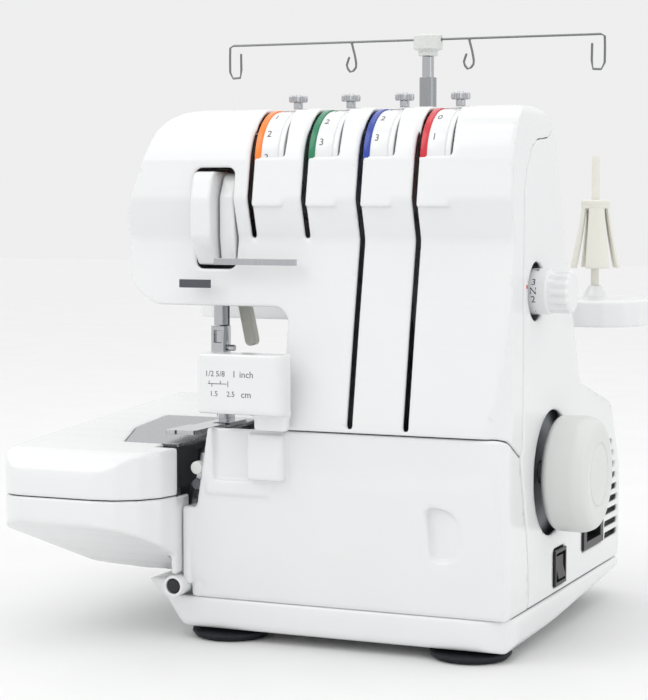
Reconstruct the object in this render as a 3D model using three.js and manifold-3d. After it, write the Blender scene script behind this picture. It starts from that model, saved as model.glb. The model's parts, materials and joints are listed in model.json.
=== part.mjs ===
// Home overlock (serger) sewing machine, as an assembly of separate pieces.
// Millimetres. X runs to the operator's right, Y to the back, Z up from the table.
import * as THREE from 'three';
import { mergeVertices } from 'three/addons/utils/BufferGeometryUtils.js';
import Module from 'manifold-3d';

const wasm = await Module();
wasm.setup();

// ---------------------------------------------------------------- driving dimensions

const GAP = 0.5;                 // seam between two casing pieces
const WALL = 2.6;                // casing wall
const FAR = 400;                 // longer than any piece, for cutting tools
const ARC_STEP = 0.4;            // turn of one facet on a rounded corner, in radians

const SIDE_X = 130;              // right-hand face of the body
const HEAD_LEFT_X = -96;         // left end of the head
const PILLAR_LEFT_X = 5.5;       // left face of the pillar, beside the sewing space
const HEAD_UNDER_Z = 184;        // underside of the head
const HEAD_TOP_Z = 291;
const COVER_TOP_Z = 118.5;       // top edge of the looper cover
const BASE_TOP_Z = 23.4;         // seam between the base tray and the casing above it
const BASE_FRONT_Y = -76;
const REAR_Y = 155;              // back of the motor housing

const DIAL = { y: -40, z: 262, r: 28.4, width: 17, ring: 4, left: [-17.2, 14.4, 45.9, 78] };
const DIAL_NAMES = ['left_needle', 'right_needle', 'upper_looper', 'lower_looper'];
const DIAL_COLOURS = ['#f2801d', '#0a8a5c', '#1f3f9e', '#cf1f33'];
const GROOVE = { width: 3, first: -19.8, pitch: 31.6, lowZ: [221, 221, 121, 121], backY: [-68, -68, -66,
  -66], top: 250 };

const WHEEL = { y: 4.5, z: 92, r: 32, left: 131, right: 157 };
const STITCH = { y: -26.7, z: 192.9, r: 15.5, depth: 8, out: 150 };
const SHAFT_R = 6;
const PULLEY = { x0: 104, x1: 116, r: 30 };
const MOTOR = { y: 104, z: 72, r: 27, x0: 20, x1: 100, pulleyR: 10 };

const NEEDLE = { x: -61, y: -20, r: 4, low: 154, high: 252, spacing: 5 };
const PRESSER = { x: -66, y: -5, r: 3, low: 120, high: 250 };
const LEVER = { x: -62, z: 196, y0: 4, y1: 11, reach: 40 };    // presser foot lifter and its pivot
const BED = {
  left: -149, rearLeft: -157, right: -56, front: -120, rear: 120,
  seamZ: 80, frontTopZ: 107, slope: 0.05, levelY: -72,
};
const PLATE = { thick: 2, outline: [[-95, -72], [-62, -72], [-58, -60], [-58, 21], [-117, 21], [-112, -28]] };
const LOW_CASING = { left: -54, front: 25, rear: 117 };
const HINGE = { y: -84, z: 31, r: 4 };    // axis on which the looper cover tips forward

const MAST = { x: 16.7, y: 110, r: 3.65, joint: 316, headLow: 329, headHigh: 342 };
const WIRE = { r: 0.85, z: 339 };
const PINS = { x: [-118, -33, 43, 123], y: 110, r: 2.45, top: 268, trayTop: 183, trayLow: 167, trayR: 33 };
const FOOT = { r: 22, front: { x: [-36, 104.5], y: -58 }, rear: { x: [-22, 90], y: 108 } };

// ---------------------------------------------------------------- solids and cuts

function toSolid(geometry) {
  const g = geometry.index ? geometry.clone() : geometry;
  g.deleteAttribute('normal');
  g.deleteAttribute('uv');
  const merged = mergeVertices(g, 1e-4);
  return new wasm.Manifold(new wasm.Mesh({
    numProp: 3,
    vertProperties: new Float32Array(merged.attributes.position.array),
    triVerts: new Uint32Array(merged.index.array),
  }));
}

const join = (first, ...rest) => rest.reduce((sum, s) => sum.add(s), first);
const cut = (first, ...rest) => rest.reduce((sum, s) => sum.subtract(s), first);
const common = (first, ...rest) => rest.reduce((sum, s) => sum.intersect(s), first);

// Corners are [a, b, radius]; the outline may be moved inwards by `inset`, and each corner is an arc.
function outline(corners, inset = 0) {
  const n = corners.length;
  let area = 0;
  for (let i = 0; i < n; i += 1) {
    const [ax, ay] = corners[i];
    const [bx, by] = corners[(i + 1) % n];
    area += ax * by - bx * ay;
  }
  const ring = area > 0 ? corners : [...corners].reverse();
  const edges = ring.map((c, i) => {
    const next = ring[(i + 1) % n];
    const d = new THREE.Vector2(next[0] - c[0], next[1] - c[1]).normalize();
    return { d, p: new THREE.Vector2(c[0] - d.y * inset, c[1] + d.x * inset) };
  });
  const sharp = edges.map((after, i) => {
    const before = edges[(i + n - 1) % n];
    const turn = before.d.cross(after.d);
    if (Math.abs(turn) < 1e-6) return after.p.clone();
    const along = after.p.clone().sub(before.p).cross(after.d) / turn;
    return before.p.clone().addScaledVector(before.d, along);
  });
  return sharp.flatMap((corner, i) => {
    const before = edges[(i + n - 1) % n].d;
    const after = edges[i].d;
    const side = Math.sign(before.cross(after));
    const angle = Math.acos(THREE.MathUtils.clamp(before.dot(after), -1, 1));
    const wanted = ring[i][2] ?? 0;
    const room = 0.48 * Math.min(corner.distanceTo(sharp[(i + n - 1) % n]),
      corner.distanceTo(sharp[(i + 1) % n]));
    const reach = Math.min(wanted > 0 ? (wanted - side * inset) * Math.tan(angle / 2) : 0, room);
    if (reach < 0.1 || angle < 0.05) return [corner];
    const radius = reach / Math.tan(angle / 2);
    const start = corner.clone().addScaledVector(before, -reach);
    const centre = start.clone().add(new THREE.Vector2(-before.y, before.x).multiplyScalar(radius * side));
    const from = Math.atan2(start.y - centre.y, start.x - centre.x);
    const steps = Math.max(1, Math.ceil(angle / ARC_STEP));
    return Array.from({ length: steps + 1 }, (_, k) => {
      const a = from + side * angle * (k / steps);
      return new THREE.Vector2(centre.x + radius * Math.cos(a), centre.y + radius * Math.sin(a));
    });
  });
}

function extrude(points, depth) {
  return new THREE.ExtrudeGeometry(new THREE.Shape(points), { depth, bevelEnabled: false, steps: 1 });
}

// Corners in (Y, Z), carried from x0 to x1.
function alongX(corners, x0, x1, inset = 0) {
  const g = extrude(outline(corners, inset), x1 - x0);
  g.applyMatrix4(new THREE.Matrix4().set(0, 0, 1, x0, 1, 0, 0, 0, 0, 1, 0, 0, 0, 0, 0, 1));
  return toSolid(g);
}

// Corners in (X, Z), carried from y0 to y1.
function alongY(corners, y0, y1, inset = 0) {
  const g = extrude(outline(corners, inset), y1 - y0);
  g.applyMatrix4(new THREE.Matrix4().set(1, 0, 0, 0, 0, 0, -1, y1, 0, 1, 0, 0, 0, 0, 0, 1));
  return toSolid(g);
}

// Corners in (X, Y), carried from z0 to z1.
function alongZ(corners, z0, z1, inset = 0) {
  const g = extrude(outline(corners, inset), z1 - z0);
  g.translate(0, 0, z0);
  return toSolid(g);
}

const rectangle = (a0, a1, b0, b1, r = 0) => [[a0, b0, r], [a1, b0, r], [a1, b1, r], [a0, b1, r]];
const block = (x0, x1, y0, y1, z0, z1, r = 0) => alongZ(rectangle(x0, x1, y0, y1, r), z0, z1);

// A turned piece: profile points are [radius, height] from the axis back to the axis.
function turned(profile, axis, centre, segments = 24) {
  const g = new THREE.LatheGeometry(profile.map(([r, h]) => new THREE.Vector2(r, h)), segments);
  if (axis === 'x') g.rotateZ(-Math.PI / 2);
  if (axis === 'z') g.rotateX(Math.PI / 2);
  g.translate(...centre);
  return toSolid(g);
}

const rod = (axis, centre, r, from, to, segments = 20) => turned(
  [[0, from], [r, from], [r, to], [0, to]],
  axis,
  centre,
  segments,
);

// A round bar bent along straight runs; the inner corners are rounded by the curve.
function bentBar(points, r, sides = 8, steps = 40) {
  const curve = new THREE.CatmullRomCurve3(points.map((p) => new THREE.Vector3(...p)), false, 'catmullrom',
    0.15);
  const section = new THREE.Shape();
  for (let i = 0; i < sides; i += 1) {
    const a = (2 * Math.PI * i) / sides;
    if (i === 0) section.moveTo(r * Math.cos(a), r * Math.sin(a));
    else section.lineTo(r * Math.cos(a), r * Math.sin(a));
  }
  return toSolid(new THREE.ExtrudeGeometry(section, { steps, extrudePath: curve, bevelEnabled: false }));
}

// ---------------------------------------------------------------- materials

const finish = (color, roughness, metalness = 0) => () => new THREE.MeshStandardMaterial({ color, roughness,
  metalness });
const whiteShell = finish('#f1f2f3', 0.22);
const offWhite = finish('#e9ebe8', 0.35);
const creamPlastic = finish('#e7e3d6', 0.4);
const blackPlastic = finish('#1b1c20', 0.45);
const rubber = finish('#101319', 0.8);
const castMetal = finish('#8d9194', 0.6, 0.7);
const steel = finish('#b9bdc2', 0.3, 1);
const chrome = finish('#dfe3e8', 0.1, 1);
const darkSteel = finish('#4c4f54', 0.4, 0.9);

const machine = new THREE.Group();

function place(name, solid, material) {
  const mesh = solid.getMesh();
  const g = new THREE.BufferGeometry();
  g.setAttribute('position', new THREE.BufferAttribute(new Float32Array(mesh.vertProperties), 3));
  g.setIndex([...mesh.triVerts]);
  g.computeVertexNormals();
  const part = new THREE.Mesh(g, material());
  part.name = name;
  machine.add(part);
  return part;
}

// ---------------------------------------------------------------- level of the fabric

const bedTop = (y) => BED.frontTopZ + BED.slope * (y - BED.levelY);

// A slab between two depths below that level.
function slopedSlab(lowBelowTop, highBelowTop) {
  const y0 = -200;
  const y1 = 200;
  return alongX([[y0, bedTop(y0) - lowBelowTop], [y1, bedTop(y1) - lowBelowTop], [y1,
    bedTop(y1) - highBelowTop],
    [y0, bedTop(y0) - highBelowTop]], -FAR, FAR);
}

// ---------------------------------------------------------------- casing

// Side view of head, pillar and motor housing, as (Y, Z).
const SIDE_VIEW = [
  [-76, BASE_TOP_Z], [-83.7, 118], [-83.3, 124, 4], [-74.4, 173.8], [-65.4, 220.3], [-72.2, 242.3],
  [-67.7, 266, 30], [-58, 291, 22], [-22, 291, 24], [3, 283, 22], [27, 209, 4], [32, 205, 4], [56, 138, 12],
  [92, 128.5, 30], [125, 120, 14], [148, 74, 12], [156, 40, 8], [146, 24, 6], [138, BASE_TOP_Z],
];

// Front view of the same casing, as (X, Z): the head reaches out to the left over the sewing space.
const FRONT_VIEW = [
  [PILLAR_LEFT_X, BASE_TOP_Z], [SIDE_X, BASE_TOP_Z], [SIDE_X, HEAD_TOP_Z, 5], [-78, HEAD_TOP_Z, 26],
  [-91, 243, 6], [HEAD_LEFT_X, 230, 4], [-91, 194, 14], [-76, HEAD_UNDER_Z, 12], [PILLAR_LEFT_X,
    HEAD_UNDER_Z, 9],
];

// Seen from above, the upright corners are rounded.
const PLAN_VIEW = [
  [HEAD_LEFT_X, -84, 22], [SIDE_X, -84, 14], [SIDE_X, REAR_Y, 12], [HEAD_LEFT_X, REAR_Y, 20],
];

// Nothing behind the head reaches further left than the pillar.
const BEHIND_HEAD = [[-FAR, 34], [PILLAR_LEFT_X, 34], [PILLAR_LEFT_X, FAR], [-FAR, FAR]];

// The room inside the casing runs on down through its open underside.
const openBelow = (corners) => corners.map(([a, z, r]) => [a, z === BASE_TOP_Z ? z - 10 : z, r]);

function casingForm(inset) {
  const form = common(
    alongX(inset ? openBelow(SIDE_VIEW) : SIDE_VIEW, HEAD_LEFT_X, SIDE_X, inset),
    alongY(inset ? openBelow(FRONT_VIEW) : FRONT_VIEW, -84, REAR_Y, inset),
    alongZ(PLAN_VIEW, 0, 300, inset),
  );
  return cut(form, alongZ(BEHIND_HEAD, 0, FAR, -inset));
}

// Seam lines on the right-hand side, as (Y, Z).
const FRONT_SEAM = [[-54, 107], [-50, 112], [-50, 245], [-46, 258], [-37, 269], [-28, 273.5], [-8.5, 275],
  [6, 283]];
const COVER_SEAM = [[-38.5, BASE_TOP_Z], [-37.6, 30], [-38.6, 45], [-43, 67], [-54, 107], [-62, 111], [-74,
  117]];

// What lies in front of a seam; `shift` moves the seam back and down, for the piece on its other side.
function looperCoverRegion(shift) {
  const [first, ...rest] = COVER_SEAM;
  return alongX([
    [-FAR, BASE_TOP_Z - shift], [first[0] + shift, BASE_TOP_Z - shift],
    ...rest.map(([y, z]) => [y + shift, z + shift]),
    [-80, COVER_TOP_Z + shift], [-FAR, COVER_TOP_Z + shift],
  ], -FAR, FAR);
}

function upperFrontRegion(shift) {
  const low = FRONT_SEAM[0];
  return alongX([
    [-FAR, low[1] - shift], [low[0] + shift, low[1] - shift],
    ...FRONT_SEAM.slice(1).map(([y, z]) => [y + shift, z]),
    [6 + shift, FAR], [-FAR, FAR],
  ], -FAR, FAR);
}

function dialPockets() {
  return join(...DIAL.left.map((x) => rod('x', [0, DIAL.y, DIAL.z], DIAL.r + 1.4, x - 0.8,
    x + DIAL.width + 0.8, 28)));
}

function grooves() {
  return join(...GROOVE.lowZ.map((low, i) => {
    const x = GROOVE.first + i * GROOVE.pitch;
    return block(x, x + GROOVE.width, -FAR, GROOVE.backY[i], low, GROOVE.top);
  }));
}

function stitchRecess() {
  return rod('x', [0, STITCH.y, STITCH.z], STITCH.r, SIDE_X - STITCH.depth, SIDE_X + 1, 32);
}

// The slot in the head's front wall that the take-up cover stands in.
const TAKE_UP_SLOT = rectangle(-52.5, -28, 204, 259, 4);

// The low casing behind the looper room, level with the bed, that the fabric passes over.
function lowCasing() {
  const form = (inset) => common(
    block(LOW_CASING.left + inset, PILLAR_LEFT_X + 2, LOW_CASING.front + inset, LOW_CASING.rear - inset,
      BASE_TOP_Z - 4 * inset, 200, inset ? 2 : 4),
    slopedSlab(200, inset),
  );
  const bridgeOpening = block(LOW_CASING.left - 5, LOW_CASING.left + 5, 27, 45, 44, 102);
  const bracketOpening = block(LOW_CASING.left + 8, PILLAR_LEFT_X + 5, 20, 60, 0, 93);
  return cut(form(0), form(WALL), bridgeOpening, bracketOpening);
}

const RECESS_FLOOR_Y = -75.8;

function buildCasing() {
  const upperShell = cut(casingForm(0), casingForm(WALL));
  const shell = join(upperShell, cut(lowCasing(), block(PILLAR_LEFT_X + 0.2, 20, 0, 200, 0, 200)));
  const opened = cut(
    shell,
    dialPockets(),
    alongY(TAKE_UP_SLOT, -90, -40),
    rod('z', [NEEDLE.x, NEEDLE.y, 0], 9, 170, 200),
    block(PRESSER.x - 7, PRESSER.x + 7, PRESSER.y - 7, PRESSER.y + 7, 170, 200),
    block(LEVER.x - 9, LEVER.x + 40, LEVER.y0 - 1.5, LEVER.y1 + 1.5, 170, 200),
  );
  const cover = looperCoverRegion(0);
  const coverClear = looperCoverRegion(GAP);
  const upperFront = cut(upperFrontRegion(0), coverClear);
  const notFront = cut(block(-FAR, FAR, -FAR, FAR, 0, FAR), upperFrontRegion(GAP), coverClear);

  let front = cut(common(opened, upperFront), grooves());
  front = front.decompose().sort((a, b) => b.volume() - a.volume())[0];
  place('front_cover', front, whiteShell);

  const doorLeft = -52;
  const door = common(
    alongX(SIDE_VIEW, doorLeft, SIDE_X),
    alongZ([[doorLeft, -86, 5], [SIDE_X, -86, 14], [SIDE_X, 0], [doorLeft, 0]], 0, 200),
    cover,
  );
  const doorInside = common(
    alongX(SIDE_VIEW, doorLeft + WALL, SIDE_X - WALL, WALL),
    alongZ([[doorLeft + WALL, -80, 3], [SIDE_X - WALL, -80, 12], [SIDE_X - WALL, 0], [doorLeft + WALL, 0]],
      0, 200),
    alongX([[-FAR, BASE_TOP_Z + WALL], [FAR, BASE_TOP_Z + WALL], [FAR, COVER_TOP_Z - WALL],
      [-FAR, COVER_TOP_Z - WALL]], -FAR, FAR),
  );
  // The finger recess is a blind pocket: a pad behind the door's wall closes it.
  const recessCorners = [[89, 53, 3], [102, 53, 10], [108, 66, 10], [102, 80, 10], [87, 82, 3]];
  const fingerRecess = alongY(recessCorners, -90, RECESS_FLOOR_Y);
  const recessPad = alongY(recessCorners, -78, RECESS_FLOOR_Y + WALL, -WALL);
  const leftOpening = block(-60, -40, -72, 10, 44, FAR);
  const lugClearance = rod('x', [0, HINGE.y, HINGE.z], 8, -60, -44);
  const openBottom = block(-60, 127, -66, 0, 0, 30);
  let doorShell = cut(door, doorInside, leftOpening, lugClearance, openBottom);
  doorShell = doorShell.decompose().sort((a, b) => b.volume() - a.volume())[0];
  place('looper_cover', cut(join(doorShell, recessPad), fingerRecess), whiteShell);

  const vents = join(...Array.from({ length: 9 }, (_, i) => block(126, 132, 112, 142, 38 + 7 * i,
    41 + 7 * i)));
  const rearParts = common(cut(opened, stitchRecess()), notFront);
  let rear = cut(
    rearParts,
    common(vents, alongX([[108, 30], [150, 30], [144, 60], [128, 98], [108, 104]], 120, 140)),
    block(120, 140, 63.4, 106, 38, 62.6),
    block(120, 140, 7, 29, 27, 48),
    rod('x', [0, WHEEL.y, WHEEL.z], 17, 120, 140, 24),
    rod('x', [0, WHEEL.y, WHEEL.z], SHAFT_R + 2, 0, 20, 20),
    block(0, 9, -60, 130, 0, 29),
    block(0, 9, -60, 60, 0, 96),
    alongZ(rectangle(MAST.x - 8, MAST.x + 8, MAST.y - 8, MAST.y + 8), 100, 140),
  );
  rear = rear.decompose().sort((a, b) => b.volume() - a.volume())[0];
  place('rear_cover', rear, whiteShell);
}

// The base tray: its left end slopes out to carry the bed arm, and its underside rises to the back.
const BASE_FRONT_VIEW = [
  [-52, 4], [-58.3, 7.6, 4], [-66.9, 20], [-80, 32], [-60, 32], [-60, BASE_TOP_Z], [131.5, BASE_TOP_Z],
  [131.5, 10, 2], [126, 4, 4],
];
const BASE_SIDE_VIEW = [
  [BASE_FRONT_Y, 7, 3], [-66, 4.6], [138, 17.9, 4], [146, 24], [146, 34], [BASE_FRONT_Y, 34],
];

const baseUnder = (y) => 4.6 + 0.0652 * (y + 66);

function buildBase() {
  const outer = common(
    alongY(BASE_FRONT_VIEW, -80, 150),
    alongX(BASE_SIDE_VIEW, -90, 140),
    alongZ([[-90, BASE_FRONT_Y, 4], [131.5, BASE_FRONT_Y, 15], [131.5, 146, 10], [-90, 146, 18]], 0, 40),
  );
  const inside = block(-46, 127.5, -72, 136, 21, 60, 10);
  place('base_tray', cut(outer, inside), whiteShell);
  for (const end of ['front', 'rear']) {
    const { x: places, y } = FOOT[end];
    places.forEach((x, i) => {
      const profile = [[0, 0], [FOOT.r - 2.5, 0], [FOOT.r, 2.5], [FOOT.r - 1, 40], [0, 40]];
      const underBase = alongX([[-200, -20], [200, -20], [200, baseUnder(200) - 0.4], [-200,
        baseUnder(-200) - 0.4]],
        -FAR, FAR);
      place(`foot_${end}_${i ? 'right' : 'left'}`, common(turned(profile, 'z', [x, y, 0], 24), underBase),
        rubber);
    });
  }
}

// ---------------------------------------------------------------- bed

// Seen from above: the left side leans outwards to the back.
const BED_PLAN = [
  [BED.left, BED.front, 14], [BED.right, BED.front, 34], [BED.right, BED.rear, 6], [BED.rearLeft, BED.rear,
    16],
];
const BED_SIDE = [
  [BED.front, 66, 3], [BED.front, bedTop(BED.front), 15], [BED.rear, bedTop(BED.rear), 10], [BED.rear, 60,
    10],
  [40, 40, 20], [-60, 33, 6],
];
const BED_FRONT = [
  [-160, 125], [BED.right, 125], [BED.right, 34.5], [-84, 34.5, 10], [-118, 37, 12], [-150, 62, 14], [-160,
    84, 10],
];

function bedForm(inset) {
  return common(
    alongX(BED_SIDE, -160, BED.right - inset, inset),
    alongZ(BED_PLAN, 0, 200, inset),
    alongY(BED_FRONT, BED.front, BED.rear, inset),
  );
}

function plateOutline(grow) {
  return outline(PLATE.outline.map(([x, y]) => [x, y, 1]), -grow).map((p) => [p.x, p.y]);
}

function buildBed() {
  const shell = cut(bedForm(0), bedForm(WALL));
  const armRoom = cut(block(-62, 0, -84, 116, 0, FAR), slopedSlab(WALL, -20));
  const opened = cut(shell, armRoom, alongZ(plateOutline(0.8), 60, FAR), block(-70, 0, -84, 22, 60, FAR));
  const above = block(-FAR, FAR, -FAR, FAR, BED.seamZ + GAP, FAR);
  const below = block(-FAR, FAR, -FAR, FAR, 0, BED.seamZ);
  place('bed_upper', common(opened, above), whiteShell);
  place('bed_lower', common(opened, below), whiteShell);

  const plate = common(alongZ(plateOutline(0), 90, 130), slopedSlab(PLATE.thick, 0));
  const needleSlot = block(NEEDLE.x - 6, NEEDLE.x + 6, NEEDLE.y - 2, NEEDLE.y + 2, 60, FAR, 1.5);
  const dogSlots = join(...[-8, 0, 8].map((dx) => block(NEEDLE.x + dx - 2, NEEDLE.x + dx + 2, -12, 12, 60,
    FAR)));
  place('needle_plate', cut(plate, needleSlot, dogSlots), steel);

  const arm = common(alongZ([[-93, -69], [-84, -69], [-84, 19], [-113, 19], [-110, -28]], 60, 130),
    slopedSlab(34, PLATE.thick + 0.4));
  const bridge = block(-113, -30, 29, 43, 46, 100);
  const web = block(-100, -86, 16, 32, 60, 100);
  place('bed_arm', join(arm, bridge, web), castMetal);
}

// ---------------------------------------------------------------- frame and drive

function buildFrame() {
  const floorPlate = join(block(-28, 119, -34, 112, 22, 28, 4), block(12, 119, 90, 126, 22, 28, 4));
  const column = block(14, 34, -24, 44, 26, 232, 3);
  const rightWall = join(block(117.5, 123, -18, 5.5, 26, 150), block(117.5, 123, 5, 34, 50, 150));
  const armBeam = block(-82, 34, -12, 22, 206, 230, 4);
  const needleBoss = cut(block(NEEDLE.x - 10, NEEDLE.x + 10, NEEDLE.y - 9, -10, 189, 246, 4));
  const topBeam = block(30, 118, -6, 20, 214, 230, 3);
  const bedBracket = block(-28, 16, 44, 56, 24, 92, 2);
  const bracketFoot = block(-28, 34, 40, 56, 24, 40, 2);
  const upright = common(join(column, rightWall, armBeam, needleBoss, topBeam), casingForm(WALL + 1.5));
  const frame = join(floorPlate, upright, bedBracket, bracketFoot);
  const shaftBore = rod('x', [0, WHEEL.y, WHEEL.z], SHAFT_R + 0.5, -40, 126, 24);
  const needleBore = rod('z', [NEEDLE.x, NEEDLE.y, 0], NEEDLE.r + 0.4, 170, 260, 20);
  const presserBore = rod('z', [PRESSER.x, PRESSER.y, 0], PRESSER.r + 0.4, 170, 260, 16);
  place('machine_frame', cut(frame, shaftBore, needleBore, presserBore), castMetal);
}

function ringOutline(y, z, r, from, to, steps) {
  return Array.from({ length: steps + 1 }, (_, i) => {
    const a = from + (to - from) * (i / steps);
    return [y + r * Math.cos(a), z + r * Math.sin(a)];
  });
}

// The belt's outline round both pulleys, `grow` outside the pulley rims.
function beltOutline(grow) {
  const dy = MOTOR.y - WHEEL.y;
  const dz = MOTOR.z - WHEEL.z;
  const span = Math.hypot(dy, dz);
  const line = Math.atan2(dz, dy);
  const lean = Math.acos((PULLEY.r - MOTOR.pulleyR) / span);
  return [
    ...ringOutline(WHEEL.y, WHEEL.z, PULLEY.r + grow, line + lean, line + 2 * Math.PI - lean, 20),
    ...ringOutline(MOTOR.y, MOTOR.z, MOTOR.pulleyR + grow, line - lean, line + lean, 8),
  ];
}

function buildDrive() {
  const wheelProfile = [
    [0, WHEEL.left], [WHEEL.r - 4, WHEEL.left], [WHEEL.r, WHEEL.left + 4], [WHEEL.r, WHEEL.right - 9],
    [WHEEL.r - 1.5, WHEEL.right - 4], [WHEEL.r - 5, WHEEL.right - 0.8], [WHEEL.r - 9, WHEEL.right], [17.6,
      WHEEL.right],
    [17, WHEEL.right - 1], [0, WHEEL.right - 1],
  ];
  place('handwheel', turned(wheelProfile, 'x', [0, WHEEL.y, WHEEL.z], 32), offWhite);
  const shaft = join(
    rod('x', [0, WHEEL.y, WHEEL.z], SHAFT_R, -20, WHEEL.left - 0.4, 24),
    rod('x', [0, WHEEL.y, WHEEL.z], PULLEY.r, PULLEY.x0, PULLEY.x1, 32),
  );
  place('main_shaft', shaft, steel);
  const motor = join(
    rod('x', [0, MOTOR.y, MOTOR.z], MOTOR.r, MOTOR.x0, MOTOR.x1, 28),
    block(34, 88, MOTOR.y - 20, MOTOR.y + 20, 28.4, MOTOR.z - 10, 2),
  );
  place('motor_body', motor, darkSteel);
  const pulley = join(
    rod('x', [0, MOTOR.y, MOTOR.z], MOTOR.pulleyR, PULLEY.x0, PULLEY.x1, 20),
    rod('x', [0, MOTOR.y, MOTOR.z], 3, MOTOR.x1 + 0.4, PULLEY.x0 + 1, 16),
  );
  place('motor_pulley', pulley, steel);
  const belt = cut(
    alongX(beltOutline(2.2), PULLEY.x0 + 1, PULLEY.x1 - 1),
    alongX(beltOutline(0.5), PULLEY.x0, PULLEY.x1),
  );
  place('drive_belt', belt, rubber);
}

// ---------------------------------------------------------------- needle, presser, knives, loopers

function buildNeedleBar() {
  place('needle_bar', rod('z', [NEEDLE.x, NEEDLE.y, 0], NEEDLE.r, NEEDLE.low + 16, NEEDLE.high, 20), chrome);
  const clamp = join(
    block(NEEDLE.x - 4.6, NEEDLE.x + 4.6, NEEDLE.y - 4.5, NEEDLE.y + 4.5, NEEDLE.low, NEEDLE.low + 15.6, 1.5),
    rod('x', [0, NEEDLE.y, NEEDLE.low + 3], 1.8, NEEDLE.x + 4, NEEDLE.x + 9, 12),
  );
  const window = block(NEEDLE.x - 2.4, NEEDLE.x + 2.4, NEEDLE.y - 9, NEEDLE.y - 2.6, NEEDLE.low + 6,
    NEEDLE.low + 13);
  place('needle_clamp', cut(clamp, window), chrome);
  ['left', 'right'].forEach((side, i) => {
    const x = NEEDLE.x + (i - 0.5) * NEEDLE.spacing;
    const profile = [[0, 116.5], [0.35, 119], [0.55, 124], [0.55, 143], [1, 145], [1, NEEDLE.low - 0.4],
      [0, NEEDLE.low - 0.4]];
    place(`needle_${side}`, turned(profile, 'z', [x, NEEDLE.y, 0], 8), steel);
  });
}

function buildPresser() {
  place('presser_bar', rod('z', [PRESSER.x, PRESSER.y, 0], PRESSER.r, PRESSER.low, PRESSER.high, 16), steel);
  const soleZ = bedTop(-20) + 0.6;
  const sole = block(PRESSER.x - 6, PRESSER.x + 9, -62, 6, soleZ + 0.8, soleZ + 3.2, 2);
  const toes = block(PRESSER.x - 9, PRESSER.x - 2, -64, -34, soleZ + 0.8, soleZ + 3.2, 2);
  const shank = block(PRESSER.x - 3, PRESSER.x + 3, -8, 3, soleZ + 2, PRESSER.low - 0.4, 1);
  const needleGap = block(NEEDLE.x - 4.5, NEEDLE.x + 4.5, NEEDLE.y - 3, NEEDLE.y + 3, 100, 130, 1);
  place('presser_foot', cut(join(sole, toes, shank), needleGap), chrome);
  const { x, z, y0, y1, reach } = LEVER;
  const lever = alongY([[x - 3.5, z, 1], [x + 3.5, z, 1], [x + 12, z - reach + 1, 3], [x + 5, z - reach,
    3]], y0, y1);
  place('presser_lever', join(lever, rod('y', [x, 0, z], 6, y0, y1, 20)), creamPlastic);
}

function buildKnives() {
  const armKnife = alongX([[-70, 70, 3], [-62, 68, 3], [-44, 101, 2], [-49, 104, 2], [-56, 101, 2]], -56,
    -53);
  place('upper_knife_arm', armKnife, steel);
  place('lower_knife', block(-60, -57, -52, -34, 84, 102), darkSteel);
}

function buildLoopers() {
  const lower = alongY([[-24, 44, 3], [-16, 44, 3], [-14, 62, 3], [-26, 84, 6], [-46, 92, 2], [-47, 90, 1],
    [-30, 78, 6], [-24, 62, 3]], -29, -26);
  place('lower_looper', lower, chrome);
  const upper = alongY([[-4, 44, 3], [4, 44, 3], [4, 76, 4], [-12, 96, 8], [-42, 99, 2], [-43, 97, 1], [-18,
    88, 8],
    [-4, 72, 4]], -42, -39);
  place('upper_looper', upper, chrome);
  place('feed_dog', block(-70, -52.4, -10, 14, 93, 98, 1), steel);
}

// ---------------------------------------------------------------- thread path on the head

function buildTakeUp() {
  const barSide = [[-52, 206], [-67, 206, 2], [-77, 222, 4], [-77.5, 241, 6], [-73, 257, 5], [-52, 257]];
  const bar = common(
    alongX(barSide, -51.5, -39.5),
    alongZ([[-51.5, -80, 3], [-39.5, -80, 3], [-39.5, -40], [-51.5, -40]], 190, 270),
  );
  const panelSide = [[-52, 206], [-66, 206, 2], [-68.5, 222, 6], [-68.5, 243, 6], [-62, 256, 6], [-52, 256]];
  const panel = alongX(panelSide, -38, -29);
  const bridge = block(-51.5, -29, -58, -52, 207, 255);
  place('take_up_cover', join(bar, panel, bridge), whiteShell);
  const guide = join(
    block(-37, 12, -78, -76, 206.5, 210, 0.8),
    block(-24, -21, -76.5, -73.6, 207, 209.4),
    block(6, 9, -76.5, -73.6, 207, 209.4),
  );
  place('take_up_guide_plate', guide, chrome);
  const hook = join(block(-56, -37, -81.6, -80.4, 194, 198.5, 0.5), block(-48, -45, -81, -75, 195.5, 197.5));
  place('thread_hook_guide', hook, darkSteel);
}

function buildDials() {
  const { r, ring, width } = DIAL;
  DIAL.left.forEach((x, i) => {
    const profile = [[0, 0], [r, 0], [r, ring], [r - 0.6, ring], [r - 0.6, width], [0, width]];
    place(`tension_dial_${DIAL_NAMES[i]}`, turned(profile, 'x', [x, DIAL.y, DIAL.z], 28),
      finish(DIAL_COLOURS[i], 0.35));
  });
}

function buildPretension() {
  const knob = turned([[0, 291.5], [7.4, 291.5], [7.4, 293], [5.2, 293.6], [5.2, 299.5], [0, 299.5]], 'z',
    [0, 0, 0], 16);
  DIAL.left.forEach((x, i) => {
    place(`pretension_guide_${DIAL_NAMES[i]}`, knob.translate([x + 9.4, -30, 0]), chrome);
  });
}

function buildStitchDial() {
  const r = STITCH.r - 2.5;
  const profile = [[0, 122.6], [3, 122.6], [3, 128], [r, 128], [r, STITCH.out - 3], [r - 3, STITCH.out],
    [0, STITCH.out]];
  place('stitch_length_dial', turned(profile, 'x', [0, STITCH.y, STITCH.z], 24), whiteShell);
}

// ---------------------------------------------------------------- switch and inlet

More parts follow.
